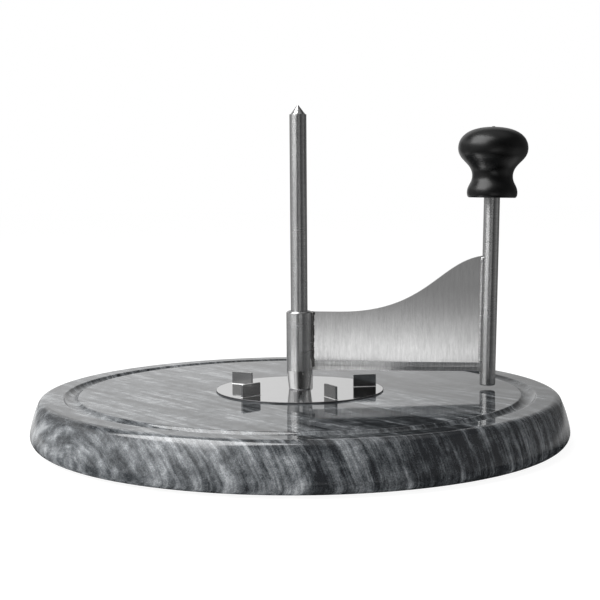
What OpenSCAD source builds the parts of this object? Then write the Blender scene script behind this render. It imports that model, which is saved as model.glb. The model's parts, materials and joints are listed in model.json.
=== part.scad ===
// Cheese curler. A round stone base carries a toothed steel plate and a pointed spindle.
// A scraper turns on the spindle: collar, blade and crank rod, with a loose knob on the rod.
// Millimetres, +Z up. The origin is on the spindle's axis, at the level that the feet stand on.
// The arm points along +X, and the ground face of its blade looks towards -Y.

/* [Stone base] */
// Widest diameter of the base
base_d = 220; // [200:1:260]
// Thickness of the stone
base_t = 18.3; // [15:0.1:26]
// Radius of the rounding under the side
base_fillet = 4.2; // [2:0.1:6]
// Radius of the rounding at the top rim
rim_fillet = 3.4; // [1:0.1:5]
// Lean of the side where it leaves the lower rounding, in degrees
side_lean = 9.7; // [4:0.1:14]
// Radius of the side's slight bulge
side_arc = 47.6; // [40:0.1:100]
// From the base's widest edge to the middle of the juice groove
groove_inset = 16.5; // [13:0.1:24]
// Width of the juice groove at the top
groove_w = 6; // [4:0.1:8]
// Depth of the juice groove
groove_depth = 1.8; // [1:0.1:2.6]

/* [Feet] */
// Thickness of a foot
foot_t = 1; // [0.8:0.1:4]
// Diameter of a foot
foot_d = 14; // [8:0.5:20]
// From the base's widest edge to the middle of a foot
foot_inset = 28; // [20:0.5:40]

/* [Toothed plate] */
// Diameter of the plate
plate_d = 69.2; // [60:0.1:90]
// Thickness of the plate
plate_t = 0.6; // [0.5:0.1:1.5]
// From the plate's rim to the outer end of a tooth
tooth_inset = 2.4; // [2.2:0.1:5]
// Length of a tooth, outwards from the spindle
tooth_len = 9.6; // [6:0.1:13]
// Height of a tooth above the plate
tooth_h = 5.2; // [3:0.1:6]
// Thickness of the tooth's sheet
tooth_t = 1; // [0.6:0.1:1.5]
// Width of the tooth's welded foot, under the plate
tooth_foot_w = 4; // [2.5:0.1:6]
// Angle of the first tooth from the arm, in degrees
teeth_turn = 7.3; // [0:0.1:72]

/* [Spindle] */
// Diameter of the spindle
spindle_d = 7; // [6.6:0.1:9]
// Height of the spindle above the plate, with its point
spindle_h = 116.5; // [90:0.1:150]
// Height of the point
point_h = 3.7; // [2:0.1:6]
// Diameter of the point at its foot, inside the spindle's shoulder
point_foot_d = 6.2; // [4:0.1:6.5]
// Diameter of the shank that goes through the stone
shank_d = 6; // [4:0.1:6.2]
// Depth of the pocket for the nut, under the base
pocket_depth = 9; // [8.6:0.1:11]
// Thickness of the rubber washer against the stone
rubber_washer_t = 1; // [0.6:0.1:1.4]
// Diameter of the steel washer
washer_d = 20; // [16:0.5:28]
// Thickness of the steel washer
washer_t = 1.6; // [1:0.1:1.8]
// Width of the nut across its flats
nut_w = 10; // [9:0.5:13]
// Thickness of the nut
nut_t = 5; // [3:0.1:5.2]

/* [Collar] */
// Length of the collar
collar_h = 32; // [28:0.1:40]
// Thickness of the collar's wall
collar_wall = 1.3; // [1:0.1:3]
// Thickness of the wall at the foot of the taper
collar_foot_wall = 0.45; // [0.3:0.05:0.9]
// Height of the taper
taper_h = 7.5; // [3:0.1:12]
// Chamfer round the collar's top
collar_chamfer = 0.5; // [0.1:0.1:0.6]
// Wall of the plastic liner in the collar
liner_wall = 0.5; // [0.4:0.1:1.2]

/* [Blade] */
// Height of the cutting edge above the plate
edge_h = 7.8; // [7.2:0.1:12]
// Thickness of the blade's sheet
blade_t = 1.5; // [1:0.1:2.5]
// Height of the blade beside the collar
blade_h = 24.4; // [18:0.1:26]
// Height of the blade beside the rod
crest_h = 48.2; // [36:0.1:56]
// From the spindle's axis to where the top edge starts to rise
rise_start = 16.2; // [12:0.1:26]
// Height of the ground face above the cutting edge
bevel_h = 3.85; // [2:0.05:5]
// Width of the flat that the grinding leaves at the edge
edge_flat = 0.12; // [0.05:0.01:0.3]

/* [Crank] */
// From the spindle's axis to the rod's axis
arm_r = 78.2; // [68:0.1:88]
// Droop of the welded arm, in degrees
arm_droop = 1.1; // [0:0.1:2]
// Diameter of the rod
rod_d = 6.6; // [5:0.1:8]
// From the cutting edge down to the rod's lower end
rod_drop = 5.6; // [3:0.1:6]
// Rounding of the rod's ends
rod_round = 0.7; // [0.2:0.1:1.2]
// Width of a weld bead
bead_d = 2; // [1.4:0.1:3]

/* [Knob] */
// From the cutting edge up to the knob
knob_rise = 72.1; // [64:0.1:90]
// Height of the knob
knob_h = 28.9; // [26:0.1:34]
// Height of the neck
neck_h = 8.9; // [7:0.1:11]
// Height of the widest part
bulb_h = 20.2; // [17:0.1:22]
// Diameter of the lower flange
flange_d = 20.6; // [18:0.1:26]
// Diameter at the neck
neck_d = 16.6; // [14:0.1:19]
// Diameter at the widest part
bulb_d = 28.5; // [24:0.1:36]
// Length of rod inside the knob
grip_depth = 21; // [17:0.1:23]

/* [Hidden] */
$fn = 96;

// Clearances and small details
run_gap = 0.05;         // radial clearance of a turning fit
end_gap = 0.1;          // end clearance of a turning fit
slot_gap = 0.05;        // each side of a tooth in its slot
stone_gap = 0.4;        // round the shank in the stone
sink_gap = 0.3;         // round the teeth's feet in the stone
washer_gap = 0.2;       // round the shank in its washers
washer_rim = 1;         // rubber washer's edge past the steel one
pocket_gap = 2;         // round the rubber washer in its pocket
shank_spare = 0.8;      // end of the shank past the nut
shank_chamfer = 0.6;
point_flat_r = 0.25;    // blunt end of the spindle's point
plate_chamfer = 0.15;
tooth_round = 0.35;
foot_round = 0.5;
flange_t = 0.3;         // liner's flange under the collar
lip_t = 0.7;            // liner's lip in the collar's top
lip_out = 0.4;
nut_chamfer = 0.7;
weld_top_gap = 0.2;     // from the end of a bead to the blade's top
clip_t = 0.9;           // knob clip: thickness, and how far it sits in and out of the rod
clip_in = 0.45;
clip_out = 0.45;
clip_below_end = 4;     // from the rod's upper end to the clip
clip_gap_angle = 36;
nub_d = 1.4;            // moulding mark on the knob
nub_h = 0.25;
nub_sink = 0.5;
cut = 1;                // how far a cutting shape runs past what it cuts
far = 200;              // longer than anything that it cuts

// Levels, from the feet up
stone_z = foot_t;
top_z = stone_z + base_t;
plate_z = top_z + plate_t;
edge_z = plate_z + edge_h;
pocket_z = stone_z + pocket_depth;
rubber_washer_z = pocket_z - rubber_washer_t;
washer_z = rubber_washer_z - washer_t;
nut_z = washer_z - nut_t;
shank_z = nut_z - shank_spare;

// Side of the stone: three arcs that run into each other
low_arc = [base_d / 2 - base_fillet, base_fillet];
bulge_arc = low_arc - (side_arc - base_fillet) * [cos(side_lean), sin(side_lean)];
rim_lean = asin((base_t - rim_fillet - bulge_arc[1]) / (side_arc - rim_fillet));
rim_arc = bulge_arc + (side_arc - rim_fillet) * [cos(rim_lean), sin(rim_lean)];

groove_r = base_d / 2 - groove_inset;
groove_arc = (pow(groove_w / 2, 2) + pow(groove_depth, 2)) / (2 * groove_depth);
foot_r = base_d / 2 - foot_inset;
foot_angles = [45, 135, 225, 315];
rubber_washer_r = washer_d / 2 + washer_rim;
pocket_r = rubber_washer_r + pocket_gap;

// Teeth
teeth = 5;
tooth_out = plate_d / 2 - tooth_inset;
tooth_in = tooth_out - tooth_len;
sink_out = norm([tooth_out, tooth_foot_w]) + sink_gap;
sink_in = tooth_in - sink_gap;
sink_depth = tooth_t + sink_gap;

// Collar and liner, from the spindle outwards
liner_r = spindle_d / 2 + run_gap;
liner_out = liner_r + liner_wall;
collar_bore = liner_out + run_gap;
collar_r = collar_bore + collar_wall;
collar_foot_r = collar_bore + collar_foot_wall;
collar_z = plate_z + flange_t;
flange_r = collar_bore + collar_foot_wall * 2 / 3;
lip_r = collar_bore + lip_out;

// Arm: measured from the cutting edge, along the arm's own axes
rod_r = rod_d / 2;
weld_z = bevel_h;
crest_x = arm_r - rod_r;
crest_steps = 24;
rise_pull = [35.7, 0];      // how far the curve keeps its first direction
crest_pull = [18.1, 2.8];   // and its last
rod_end = knob_rise + grip_depth;
clip_z = rod_end - clip_below_end;

// Knob outline: how far each curve keeps its end direction, as a share of its span
flange_h = 2;
foot_edge = 1;
low_pull = 0.44;
mid_pull = 0.467;
crown_pull = [0.7, 0.56];
knob_steps = 10;

// Points along an arc in the r-z plane
function arc(centre, r, a0, a1, steps) = [
    for (i = [0:steps])
        let (a = a0 + (a1 - a0) * i / steps) centre + r * [cos(a), sin(a)]
];

// Points along a smooth curve with four control points
function curve(p, steps) = [
    for (i = [0:steps])
        let (t = i / steps, s = 1 - t)
            p[0] * s ^ 3 + 3 * p[1] * s ^ 2 * t + 3 * p[2] * s * t ^ 2 + p[3] * t ^ 3
];

module ring(r_in, r_out, h) {
    difference() {
        cylinder(r = r_out, h = h);
        translate([0, 0, -cut]) cylinder(r = r_in, h = h + 2 * cut);
    }
}

// Puts a shape on the arm: x along the arm, z from the cutting edge up
module on_arm() {
    translate([0, 0, edge_z]) rotate([0, arm_droop, 0]) children();
}

module base_outline() {
    polygon(concat(
        [[0, 0]],
        arc(low_arc, base_fillet, -90, side_lean, 10),
        arc(bulge_arc, side_arc, side_lean, rim_lean, 4),
        arc(rim_arc, rim_fillet, rim_lean, 90, 7),
        [[0, base_t]]
    ));
}

module marble_base() {
    color("dimgray") translate([0, 0, stone_z]) difference() {
        rotate_extrude() difference() {
            base_outline();
            translate([groove_r, base_t + groove_arc - groove_depth]) circle(r = groove_arc);
        }
        translate([0, 0, -cut]) cylinder(d = shank_d + 2 * stone_gap, h = base_t + 2 * cut);
        translate([0, 0, -cut]) cylinder(r = pocket_r, h = pocket_depth + cut);
        translate([0, 0, base_t - sink_depth]) ring(sink_in, sink_out, sink_depth + cut);
    }
}

module base_foot(a) {
    r = foot_d / 2;
    color([0.12, 0.12, 0.12]) rotate([0, 0, a]) translate([foot_r, 0, 0]) rotate_extrude()
        polygon([[0, 0], [r - foot_round, 0], [r, foot_round], [r, foot_t], [0, foot_t]]);
}

// Stands a flat shape up along the tooth's line
module tooth_upright(t) {
    rotate([90, 0, 0]) translate([0, 0, -t / 2]) linear_extrude(t) children();
}

module tooth_plate() {
    r = plate_d / 2;
    color([0.8, 0.81, 0.82]) difference() {
        translate([0, 0, top_z]) rotate_extrude() polygon([
            [shank_d / 2 + run_gap, 0], [r, 0], [r, plate_t - plate_chamfer],
            [r - plate_chamfer, plate_t], [shank_d / 2 + run_gap, plate_t]
        ]);
        for (i = [0:teeth - 1]) rotate([0, 0, teeth_turn + i * 360 / teeth])
            translate([tooth_in - slot_gap, -tooth_t / 2 - slot_gap, top_z - cut])
                cube([tooth_len + 2 * slot_gap, tooth_t + 2 * slot_gap, plate_t + 2 * cut]);
    }
}

// An upright tab with a foot that is welded under the plate
module tooth(i) {
    low = top_z - tooth_t;
    high = plate_z + tooth_h;
    color([0.78, 0.79, 0.8]) rotate([0, 0, teeth_turn + i * 360 / teeth]) union() {
        tooth_upright(tooth_t) polygon(concat(
            [[tooth_in, low], [tooth_out, low]],
            arc([tooth_out - tooth_round, high - tooth_round], tooth_round, 0, 90, 3),
            arc([tooth_in + tooth_round, high - tooth_round], tooth_round, 90, 180, 3)
        ));
        translate([tooth_in, -tooth_t / 2, low]) cube([tooth_len, tooth_foot_w, tooth_t]);
    }
}

module spindle() {
    r = spindle_d / 2;
    s = shank_d / 2;
    tip_z = plate_z + spindle_h;
    color([0.7, 0.71, 0.72]) rotate_extrude() polygon([
        [0, shank_z], [s - shank_chamfer, shank_z], [s, shank_z + shank_chamfer], [s, plate_z],
        [r, plate_z], [r, tip_z - point_h], [point_foot_d / 2, tip_z - point_h],
        [point_flat_r, tip_z], [0, tip_z]
    ]);
}

module rubber_washer() {
    color([0.1, 0.1, 0.1]) translate([0, 0, rubber_washer_z])
        ring(shank_d / 2 + washer_gap, rubber_washer_r, rubber_washer_t);
}

module steel_washer() {
    color([0.68, 0.69, 0.7]) translate([0, 0, washer_z])
        ring(shank_d / 2 + washer_gap, washer_d / 2, washer_t);
}

module spindle_nut() {
    corner_r = nut_w / 2 / cos(30);
    color([0.66, 0.67, 0.68]) translate([0, 0, nut_z]) difference() {
        intersection() {
            cylinder(r = corner_r, h = nut_t, $fn = 6);
            rotate_extrude() polygon([
                [0, 0], [corner_r - nut_chamfer, 0], [corner_r, nut_chamfer / 2],
                [corner_r, nut_t - nut_chamfer / 2], [corner_r - nut_chamfer, nut_t], [0, nut_t]
            ]);
        }
        translate([0, 0, -cut]) cylinder(r = shank_d / 2 + run_gap, h = nut_t + 2 * cut);
    }
}

// Plain bearing between spindle and collar, held in the collar by its flange and its lip
module collar_liner() {
    lip_z = collar_h - lip_t;
    color([0.35, 0.35, 0.36]) translate([0, 0, collar_z]) rotate_extrude() polygon([
        [liner_r, -flange_t], [flange_r, -flange_t], [flange_r, 0], [liner_out, 0],
        [liner_out, lip_z + run_gap], [lip_r - run_gap, lip_z + run_gap],
        [lip_r - run_gap, collar_h - end_gap], [liner_r, collar_h - end_gap]
    ]);
}

module scraper_collar() {
    color([0.66, 0.67, 0.68]) translate([0, 0, collar_z]) rotate_extrude() polygon([
        [collar_bore, 0], [collar_foot_r, 0], [collar_r, taper_h],
        [collar_r, collar_h - collar_chamfer], [collar_r - collar_chamfer, collar_h],
        [lip_r, collar_h], [lip_r, collar_h - lip_t], [collar_bore, collar_h - lip_t]
    ]);
}

// Takes away all that would stand inside the collar or the rod
module clear_of_collar_and_rod() {
    difference() {
        children();
        cylinder(r = collar_r, h = far);
        on_arm() translate([arm_r, 0, -far / 2]) cylinder(r = rod_r, h = far);
    }
}

module blade_sheet() {
    top = curve([
        [crest_x, crest_h], [crest_x, crest_h] - crest_pull,
        [rise_start, blade_h] + rise_pull, [rise_start, blade_h]
    ], crest_steps);
    rotate([90, 0, 0]) translate([0, 0, -blade_t / 2]) linear_extrude(blade_t)
        polygon(concat([[0, 0], [arm_r, 0], [arm_r, crest_h]], top, [[0, blade_h]]));
}

// The face that the grinding takes off, on the blade's front
module bevel_cut() {
    front = -blade_t / 2;
    rotate([90, 0, 90]) linear_extrude(arm_r + cut) polygon([
        [front, bevel_h], [blade_t / 2 - edge_flat, 0], [blade_t / 2 - edge_flat, -cut],
        [front - cut, -cut], [front - cut, bevel_h]
    ]);
}

module scraper_blade() {
    color([0.62, 0.63, 0.64]) clear_of_collar_and_rod() on_arm() difference() {
        blade_sheet();
        bevel_cut();
    }
}

// Fillet beads in the two corners between the blade and a round piece at x
module beads(x, low, high) {
    for (side = [-1, 1])
        translate([x, side * blade_t / 2, low]) cylinder(d = bead_d, h = high - low);
}

module clear_of_blade() {
    difference() {
        children();
        translate([-far / 2, -blade_t / 2, 0]) cube([far, blade_t, far]);
    }
}

module collar_weld() {
    color([0.42, 0.42, 0.43]) clear_of_blade() clear_of_collar_and_rod()
        beads(collar_r, edge_z + weld_z, collar_z + collar_h - weld_top_gap);
}

module rod_weld() {
    color([0.6, 0.6, 0.61]) clear_of_blade() clear_of_collar_and_rod()
        on_arm() beads(crest_x, weld_z, crest_h - weld_top_gap);
}

module crank_rod() {
    clip_seat = rod_r - clip_in;
    color([0.68, 0.69, 0.7]) on_arm() translate([arm_r, 0, 0]) rotate_extrude() polygon(concat(
        [[0, -rod_drop]],
        arc([rod_r - rod_round, rod_round - rod_drop], rod_round, -90, 0, 5),
        [[rod_r, clip_z], [clip_seat, clip_z], [clip_seat, clip_z + clip_t], [rod_r, clip_z + clip_t]],
        arc([rod_r - rod_round, rod_end - rod_round], rod_round, 0, 90, 5),
        [[0, rod_end]]
    ));
}

module knob_clip() {
    color([0.6, 0.6, 0.62]) on_arm() translate([arm_r, 0, clip_z])
        rotate([0, 0, clip_gap_angle / 2]) rotate_extrude(angle = 360 - clip_gap_angle)
            translate([rod_r - clip_in, 0]) square([clip_in + clip_out, clip_t]);
}

module knob_outline() {
    flange = [flange_d / 2, flange_h];
    neck = [neck_d / 2, neck_h];
    bulb = [bulb_d / 2, bulb_h];
    crown = [0, knob_h];
    low = low_pull * (neck_h - flange_h);
    mid = mid_pull * (bulb_h - neck_h);
    crown_up = crown_pull[1] * (knob_h - bulb_h);
    crown_in = crown_pull[0] * bulb_d / 2;
    foot = [flange[0] - foot_edge, 0];
    polygon(concat(
        [[0, 0]],
        curve([foot, foot + [foot_edge * 2 / 3, 0], flange - [0, foot_edge], flange], knob_steps / 2),
        curve([flange, flange + [0, low], neck - [0, low], neck], knob_steps),
        curve([neck, neck + [0, mid], bulb - [0, mid], bulb], knob_steps),
        curve([bulb, bulb + [0, crown_up], crown + [crown_in, 0], crown], knob_steps + 2)
    ));
}

module crank_knob() {
    bore_r = rod_r + run_gap;
    color([0.08, 0.08, 0.08]) on_arm() translate([arm_r, 0, knob_rise]) difference() {
        union() {
            rotate_extrude() knob_outline();
            translate([0, 0, knob_h - nub_sink]) cylinder(d = nub_d, h = nub_h + nub_sink);
        }
        translate([0, 0, -cut]) cylinder(r = bore_r, h = grip_depth + end_gap + cut);
        translate([0, 0, clip_z - knob_rise - end_gap])
            cylinder(r = rod_r + clip_out + run_gap, h = clip_t + 2 * end_gap);
    }
}

marble_base();
base_foot(foot_angles[0]);  // base_foot_1
base_foot(foot_angles[1]);  // base_foot_2
base_foot(foot_angles[2]);  // base_foot_3
base_foot(foot_angles[3]);  // base_foot_4
tooth_plate();
tooth(0);  // tooth_1
tooth(1);  // tooth_2
tooth(2);  // tooth_3
tooth(3);  // tooth_4
tooth(4);  // tooth_5
spindle();
rubber_washer();
steel_washer();
spindle_nut();
collar_liner();
scraper_collar();
scraper_blade();
collar_weld();
crank_rod();
rod_weld();
crank_knob();
knob_clip();
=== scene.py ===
import bpy
import json
import random
from math import asin, cos, degrees, pi, radians, sin
from mathutils import Matrix, Vector


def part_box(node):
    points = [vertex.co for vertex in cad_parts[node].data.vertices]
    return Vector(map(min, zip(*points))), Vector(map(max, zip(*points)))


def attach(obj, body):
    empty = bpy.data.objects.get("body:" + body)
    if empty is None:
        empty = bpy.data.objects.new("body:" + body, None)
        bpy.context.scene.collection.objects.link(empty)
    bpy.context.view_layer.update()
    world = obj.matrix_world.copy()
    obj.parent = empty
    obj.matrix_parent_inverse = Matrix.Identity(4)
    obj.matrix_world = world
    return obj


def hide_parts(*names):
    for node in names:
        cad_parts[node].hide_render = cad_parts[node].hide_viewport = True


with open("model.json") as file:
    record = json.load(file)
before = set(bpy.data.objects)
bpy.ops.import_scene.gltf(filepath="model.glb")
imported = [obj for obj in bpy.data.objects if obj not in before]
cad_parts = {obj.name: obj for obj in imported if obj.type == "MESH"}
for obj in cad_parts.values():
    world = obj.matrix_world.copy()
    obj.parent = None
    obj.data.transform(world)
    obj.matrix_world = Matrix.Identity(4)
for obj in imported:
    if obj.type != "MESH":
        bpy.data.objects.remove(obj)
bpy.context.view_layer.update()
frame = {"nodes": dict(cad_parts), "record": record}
nodes = frame["nodes"]

MM = 0.001
MERGE = 1e-6                # metres, within which doubles are one point
ONE_FLAT = 0.5              # degrees, within which faces are one flat face


# --- Sizes of the pieces, in millimetres ------------------------------------------------------

STONE_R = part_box("marble_base")[1].x / MM
STONE_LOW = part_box("marble_base")[0].z / MM
STONE_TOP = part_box("marble_base")[1].z / MM
LOW_ROUND = 4.2             # rounding under the side
RIM_ROUND = 3.4             # rounding at the top rim
SIDE_LEAN = 9.7             # degrees, where the side leaves the lower rounding
SIDE_BULGE = 47.6           # radius of the side's bulge
GROOVE_R = 93.5             # middle of the juice groove
GROOVE_W = 6.0
GROOVE_DEPTH = 1.8
GROOVE_LIP = 0.7            # worn edge of the groove
POCKET_R = 13.0             # round hollow for the nut, under the stone
POCKET_DEPTH = 9.0
SHANK_HOLE_R = 3.4
FOOT_SINK_IN = 22.3         # ring under the plate that takes the feet of the teeth
FOOT_SINK_OUT = 32.75
FOOT_SINK_DEPTH = 1.3
FEET = 4

PLATE_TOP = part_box("tooth_plate")[1].z / MM
PLATE_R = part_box("tooth_plate")[1].x / MM
TEETH = 5
TEETH_TURN = 7.3            # degrees from the arm to the first tooth
TOOTH_OUT = 32.2            # outer end of a tooth
TOOTH_LEN = 9.6
TOOTH_T = 1.0
TOOTH_BEAD = 0.2            # fillet round a tooth's foot
TOOTH_BEAD_SINK = 0.02      # start of the fillet, below the plate's face
SPINDLE_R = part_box("spindle")[1].x / MM
SPINDLE_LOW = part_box("spindle")[0].z / MM
SPINDLE_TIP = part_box("spindle")[1].z / MM
SHANK_R = 3.0
SHANK_CHAMFER = 0.6
BAR_EDGE = 0.08             # rounding of the spindle's lower corners
SHOULDER_ROUND = 0.15       # where the bar ends and its point starts
POINT_H = 3.7
POINT_FOOT_R = 3.1
POINT_FLAT_R = 0.25
POINT_ROUND = 0.2

COLLAR_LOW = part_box("scraper_collar")[0].z / MM
COLLAR_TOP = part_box("scraper_collar")[1].z / MM
COLLAR_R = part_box("scraper_collar")[1].x / MM
COLLAR_BORE = 4.1
COLLAR_FOOT_R = 4.55
COLLAR_LIP_R = 4.5
COLLAR_LIP_H = 0.7
TAPER_H = 7.5
COLLAR_CHAMFER = 0.5

EDGE_Z = 27.7               # height of the cutting edge at the spindle's axis
ARM_DROOP = 1.1             # degrees
ARM_R = 78.2                # from the spindle's axis to the rod's axis
BLADE_T = 1.5
BEVEL_H = 3.85
CREST_H = 48.2              # blade's height beside the rod
KEEN_H = 0.5                # up to where the cutting edge isn't rounded
GRIND_TURN = 17             # degrees, less than the blade turns at the line where its bevel starts
ROD_R = 3.3
ROD_DROP = 5.6              # rod's end below the cutting edge
ROD_END = 93.1              # rod's upper end above the cutting edge
ROD_ROUND = 0.7
CLIP_LOW = 89.1             # groove for the knob's clip
CLIP_T = 0.9
CLIP_DEPTH = 0.45

WELD_SKIN = 0.06            # middle of a drop of weld metal, out from the face that it lies on
COLLAR_BEAD_LOW = 31.9
COLLAR_BEAD_TOP = COLLAR_TOP - 0.7
COLLAR_BEAD_R = (0.66, 0.9)
COLLAR_BEAD_OUT = (-0.08, 0.12)
COLLAR_BEAD_STEP = (0.75, 1.05)
# Larger drops where the collar's bead starts and ends: (height, radius)
COLLAR_BEAD_ENDS = ((COLLAR_TOP - 1.0, 1.15), (32.0, 1.0))
END_OUT = 0.1
# Drops beside the bevel: (height, distance from the blade's middle)
COLLAR_BEAD_TAIL = ((31.0, 0.6), (30.2, 0.4), (29.4, 0.2))
TAIL_R = 0.85
TAIL_OUT = 0.05
ROD_BEAD_MARGIN = 0.9       # what the rod's bead leaves bare at the bevel and at the crest
ROD_BEAD_R = (0.84, 0.9)
ROD_BEAD_STEP = (0.5, 0.6)
ROD_BEAD_SKIN = 0.02
MELT_SPREAD = (0.92, 1.1)   # how a drop of weld metal is spread sideways
MELT_FLAT = (0.62, 0.8)     # and flattened
WELD_VOXEL = 0.14

KNOB_RISE = 72.1            # knob's foot above the cutting edge
KNOB_H = 28.9
NECK_H = 8.9
BULB_H = 20.2
FLANGE_R = 10.3
FLANGE_H = 2.0
FLANGE_ROUND = 1.0
NECK_R = 8.3
BULB_R = 14.25
SKIRT_PULL = 0.667          # how far the skirt's curve follows the flat foot
WAIST_PULL = 0.44           # how far the next curves follow their ends, as a share of their heights
SWELL_PULL = 0.467
CROWN_PULL = 0.56
CROWN_FLAT = 0.7            # how far the crown follows its flat top, as a share of its radius
# Moulding nub on the crown: (radius, height above the crown)
NUB = ((0.85, -0.01), (0.7, 0.05), (0.62, 0.2), (0.45, 0.25), (0, 0.25))
NUB_CLEAR = 1.2             # radius where the crown gives way to the nub
KNOB_BORE = 3.35
BORE_MOUTH = 0.4
BORE_DEPTH = 21.1
CLIP_ROOM_R = 3.8
CLIP_ROOM_LOW = 16.9
CLIP_ROOM_H = 1.1

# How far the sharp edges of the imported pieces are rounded
FOOT_EDGE = 0.2
WASHER_EDGE = 0.15
NUT_EDGE = 0.12
TOOTH_EDGE = 0.14
PLATE_EDGE = 0.05
BLADE_EDGE = 0.12


# --- Camera ---------------------------------------------------------------------------------

CAMERA_BACK = 510.25 * MM       # from the spindle's axis
CAMERA_HEIGHT = 101.21 * MM     # above the surface that the feet stand on
CAMERA_SIDE = 1.2               # degrees that the camera stands to the left of the arm's square view
LOOK_DOWN = 4.98
LOOK_RIGHT = 0.04
ROLL = -0.39
LENS = 74.466
SENSOR = 36
CLIP = (0.01, 50)               # metres between which things show


def add_camera():
    data = bpy.data.cameras.new("camera")
    data.lens = LENS
    data.sensor_width = SENSOR
    data.clip_start = CLIP[0]
    data.clip_end = CLIP[1]
    camera = bpy.data.objects.new("camera", data)
    bpy.context.scene.collection.objects.link(camera)
    turn = radians(-CAMERA_SIDE)
    place = Vector((CAMERA_BACK * sin(turn), -CAMERA_BACK * cos(turn), CAMERA_HEIGHT))
    look = Matrix.Rotation(turn - radians(LOOK_RIGHT), 4, "Z")
    tilt = Matrix.Rotation(radians(90 - LOOK_DOWN), 4, "X")
    roll = Matrix.Rotation(radians(ROLL), 4, "Z")
    camera.matrix_world = Matrix.Translation(place) @ look @ tilt @ roll
    bpy.context.scene.camera = camera


# --- Outlines ---------------------------------------------------------------------------------

def arc(centre, r, start, end, steps):
    """Points along an arc in the plane of radius and height. Angles are in degrees."""
    angles = [radians(start + (end - start) * i / steps) for i in range(steps + 1)]
    return [(centre[0] + r * cos(a), centre[1] + r * sin(a)) for a in angles]


def curve(p, steps):
    """Points along a smooth curve with four control points."""
    points = []
    for i in range(steps + 1):
        t = i / steps
        share = ((1 - t) ** 3, 3 * t * (1 - t) ** 2, 3 * t * t * (1 - t), t ** 3)
        points.append(tuple(sum(s * q[k] for s, q in zip(share, p)) for k in (0, 1)))
    return points


def rounded(corner, before, after, r, steps):
    """Points that round a corner of an outline with radius r, from the side of before to after."""
    c, b, a = Vector(corner), Vector(before), Vector(after)
    to_b = (b - c).normalized()
    to_a = (a - c).normalized()
    half = to_b.angle(to_a) / 2
    reach = r / (sin(half) / cos(half))
    middle = c + (to_b + to_a).normalized() * r / sin(half)
    first = c + to_b * reach - middle
    last = c + to_a * reach - middle
    turn = first.angle_signed(last)
    points = []
    for i in range(steps + 1):
        v = first.copy()
        v.rotate(Matrix.Rotation(-turn * i / steps, 2))
        points.append(tuple(middle + v))
    return points


def soften(outline, r, steps):
    """The outline with each corner rounded, but for its two ends."""
    made = [outline[0]]
    for before, corner, after in zip(outline, outline[1:], outline[2:]):
        made += rounded(corner, before, after, r, steps)
    return made + [outline[-1]]


# --- Modelling --------------------------------------------------------------------------------

def deselect_all():
    bpy.ops.object.select_all(action="DESELECT")


def pick(*pieces):
    """Selects these pieces and no others, and makes the first one active."""
    deselect_all()
    for piece in pieces:
        piece.select_set(True)
    bpy.context.view_layer.objects.active = pieces[0]


def edit(mode="VERT"):
    """Starts to edit the active piece, by its points, edges or faces."""
    bpy.ops.object.mode_set(mode="EDIT")
    bpy.ops.mesh.select_mode(type=mode)


def end_edit():
    bpy.ops.object.mode_set(mode="OBJECT")


def close_up():
    """Merges doubles and turns all faces outwards, in edit mode."""
    bpy.ops.mesh.select_all(action="SELECT")
    bpy.ops.mesh.remove_doubles(threshold=MERGE)
    bpy.ops.mesh.normals_make_consistent(inside=False)


def apply_modifiers(piece):
    pick(piece)
    for modifier in list(piece.modifiers):
        bpy.ops.object.modifier_apply(modifier=modifier.name)


def smooth(piece, angle=30):
    """Shades the round stretches smooth. Flat faces stay flat up to their edges."""
    pick(piece)
    bpy.ops.object.shade_smooth_by_angle(angle=radians(angle))
    level = piece.modifiers.new("level", "WEIGHTED_NORMAL")
    level.keep_sharp = True
    apply_modifiers(piece)
    piece.select_set(False)


def lathe(name, outline, steps, closed=False):
    """Draws an outline of (radius, height) from one vertex, and spins it round the Z axis."""
    deselect_all()
    bpy.ops.mesh.primitive_plane_add(size=MM, location=(0, 0, 0))
    piece = bpy.context.object
    piece.name = name
    edit()
    bpy.ops.mesh.merge(type="CENTER")
    points = [Vector((r, 0, z)) * MM for r, z in outline]
    if closed:
        points.append(points[0])
    bpy.ops.transform.translate(value=points[0])
    for here, there in zip(points, points[1:]):
        bpy.ops.mesh.extrude_vertices_move(TRANSFORM_OT_translate={"value": there - here})
    bpy.ops.mesh.select_all(action="SELECT")
    bpy.ops.mesh.spin(steps=steps, angle=2 * pi, center=(0, 0, 0), axis=(0, 0, 1))
    close_up()
    end_edit()
    return piece


def onto_arm(piece):
    """Moves a piece that was made about the Z axis, from the cutting edge up, to the rod's place."""
    place = Matrix.Translation((0, 0, EDGE_Z * MM)) @ Matrix.Rotation(radians(ARM_DROOP), 4, "Y")
    piece.matrix_world = place @ Matrix.Translation((ARM_R * MM, 0, 0))
    pick(piece)
    bpy.ops.object.transform_apply(location=True, rotation=True, scale=True)


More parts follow.
